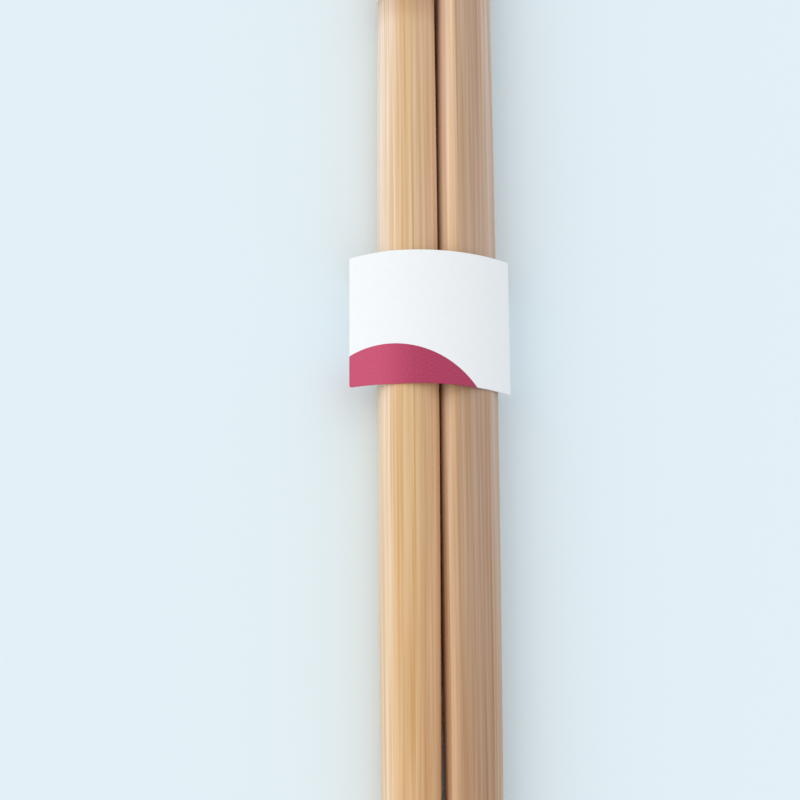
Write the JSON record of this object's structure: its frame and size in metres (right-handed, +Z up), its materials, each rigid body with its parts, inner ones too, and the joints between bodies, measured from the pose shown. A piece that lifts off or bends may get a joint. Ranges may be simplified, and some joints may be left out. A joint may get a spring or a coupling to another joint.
{
  "type": "bamboo chopsticks",
  "caption": "Bamboo chopsticks tapered towards both ends, lying side by side and held at mid length by a loose folded paper band printed with a plain crimson arc.",
  "frame": {"origin": "under the middle of the paper band, on the surface that the banded pair lies on", "axes": "+Y along the sticks, +X across the pair, +Z up"},
  "size_m": [0.0213, 0.24, 0.0089],
  "materials": {
    "bamboo": "satin, fine lengthwise fibres",
    "paper": "matte"
  },
  "bodies": {
    "root": {"left_chopstick": "bamboo", "right_chopstick": "bamboo", "paper_band": "paper"}
  },
  "joints": []
}
